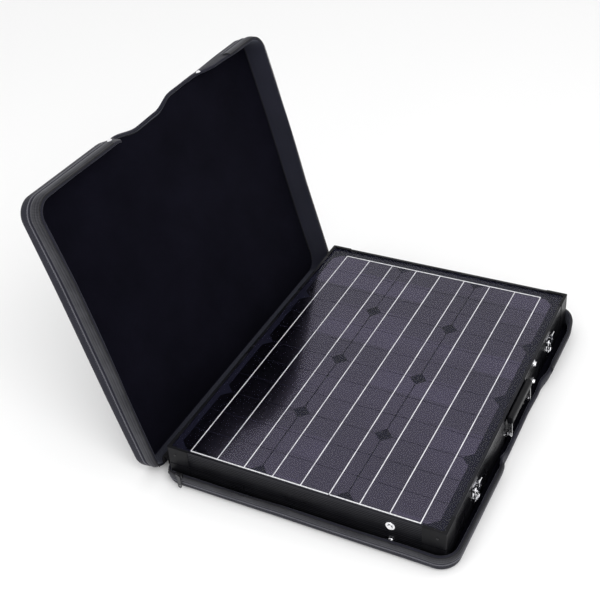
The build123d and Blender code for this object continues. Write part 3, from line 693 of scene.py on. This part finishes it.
def spine_row(y):
    """The slack cloth from the base's wall over its fold to the lid's wall, at one place along it."""
    past = max(0.0, abs(y) - (HALF_Y - CORNER))
    shift = CORNER - math.sqrt(CORNER ** 2 - past ** 2)
    rise = 0.002 * smooth(0.285, SPINE_END, abs(y))
    left = LEFT + shift
    fold = LEFT + 0.4 * shift
    end = TURN @ Vector((left, 0, CLOSED_TOP - 0.036))
    far = TURN @ Vector((left - 0.0007, 0, CLOSED_TOP - 0.012))
    path = [
        (left - 0.0006, 0.006), (left - 0.0009, 0.018),
        (fold - 0.0018, 0.0255 + 0.5 * rise), (fold - 0.0042, 0.0305 + 0.9 * rise),
        (fold - 0.0080, 0.0325 + rise), (fold - 0.0115, 0.0300 + 0.9 * rise),
        (fold - 0.0134, 0.0245 + 0.5 * rise), (left - 0.0142, 0.017), (end.x, end.z), (far.x, far.z),
    ]
    row = []
    for k, (x, z) in enumerate(path):
        ripple = 0.0008 * math.sin(y * 37 + k) if 1 < k < 7 else 0
        row.append(Vector((x + ripple, y, z + ripple)))
    return row


def binding(name, y):
    """Flat tube of cloth sewn over one end of the spine, smoothed so that it has no corners."""
    line = spine_row(y)[1:-1]
    fine = []
    for a, b in zip(line, line[1:]):
        fine += [a.lerp(b, k / 4) for k in range(4)]
    for _ in range(3):
        middle = [(a + b + c) / 3 for a, b, c in zip(fine, fine[1:], fine[2:])]
        fine = [fine[0]] + middle + [fine[-1]]
    along = Vector((0, 1, 0))
    sides, wide, thin = 8, 0.0022, 0.0013
    angles = [2 * math.pi * m / sides for m in range(sides)]
    rings, uvs = [], []
    for k, p in enumerate(fine):
        ahead = (fine[min(k + 1, len(fine) - 1)] - fine[max(k - 1, 0)]).normalized()
        third = ahead.cross(along).normalized()
        rings.append([p + along * wide * math.cos(a) + third * thin * math.sin(a)
                      for a in angles])
        uvs += [(0.003 * k, 0.001 * m) for m in range(sides)]
    piece = skin(name, rings, MATS["spine_cloth"], True, uvs, cap_first=True, cap_last=True)
    return piece


def spine():
    """Slack cloth between the two halves; it stands up in a fold when the lid lies back."""
    rows, uvs = [], []
    count = 60
    for n in range(count + 1):
        y = SPINE_END * (2 * n / count - 1)
        row = spine_row(y)
        uvs += [(y, 0.012 * (k + 1)) for k in range(len(row))]
        rows.append(row)
    piece = skin("spine", rows, MATS["spine_cloth"], False, uvs)
    modifier = piece.modifiers.new("thickness", "SOLIDIFY")
    modifier.thickness = 0.0012
    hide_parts("base_spine_flap", "lid_spine_flap")
    ends = (("spine_binding_front", -SPINE_END), ("spine_binding_back", SPINE_END))
    for each in [piece] + [binding(name, y) for name, y in ends]:
        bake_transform(each)


# ---------------------------------------------------------------- studio
def studio():
    """A pale floor and two soft lamps under a white sky."""
    verts, faces = [], []
    size, count = 6.0, 24
    for i in range(count + 1):
        for j in range(count + 1):
            verts.append((-size + 2 * size * i / count, -size + 2 * size * j / count, -0.0004))
    for i in range(count):
        for j in range(count):
            a = i * (count + 1) + j
            faces.append((a, a + count + 1, a + count + 2, a + 1))
    floor = mesh_object("floor", verts, faces, material("floor", (0.86, 0.86, 0.86), 0.9))
    world = bpy.data.worlds.new("studio")
    bpy.context.scene.world = world
    world.use_nodes = True
    background = world.node_tree.nodes["Background"]
    background.inputs["Color"].default_value = (1, 1, 1, 1)
    background.inputs["Strength"].default_value = 1.0
    for name, place, aim, size, power in (
        ("key", (1.6, -1.4, 2.4), (0, 0, 0), 1.6, 40),
        ("fill", (-0.6, -2.4, 1.4), (-0.1, 0, 0.1), 1.4, 12),
    ):
        light = bpy.data.lights.new(name, "AREA")
        light.size = size
        light.energy = power
        obj = bpy.data.objects.new(name, light)
        bpy.context.scene.collection.objects.link(obj)
        obj.location = place
        obj.rotation_euler = (Vector(aim) - Vector(place)).to_track_quat("-Z", "Y").to_euler()


def camera():
    """A view 36 degrees down and 30 degrees round from the front, slightly rolled."""
    data = bpy.data.cameras.new("camera")
    data.lens = 64.31
    data.sensor_width = 36
    obj = bpy.data.objects.new("camera", data)
    right = Vector((0.890886, 0.44853, -0.071715))
    down = Vector((0.210699, -0.547937, -0.80955))
    ahead = Vector((-0.402402, 0.706107, -0.582654))
    turn = Matrix((right, -down, -ahead)).transposed().to_4x4()
    obj.matrix_world = Matrix.Translation((0.63794, -1.39823, 1.33822)) @ turn
    bpy.context.scene.collection.objects.link(obj)
    bpy.context.scene.camera = obj


# ---------------------------------------------------------------- build everything
bpy.context.scene.view_settings.view_transform = "Standard"
dress_cad_nodes()
build_half(Half("base", BASE_DEPTH))
build_half(Half("lid", LID_DEPTH))
spine()
studio()
camera()
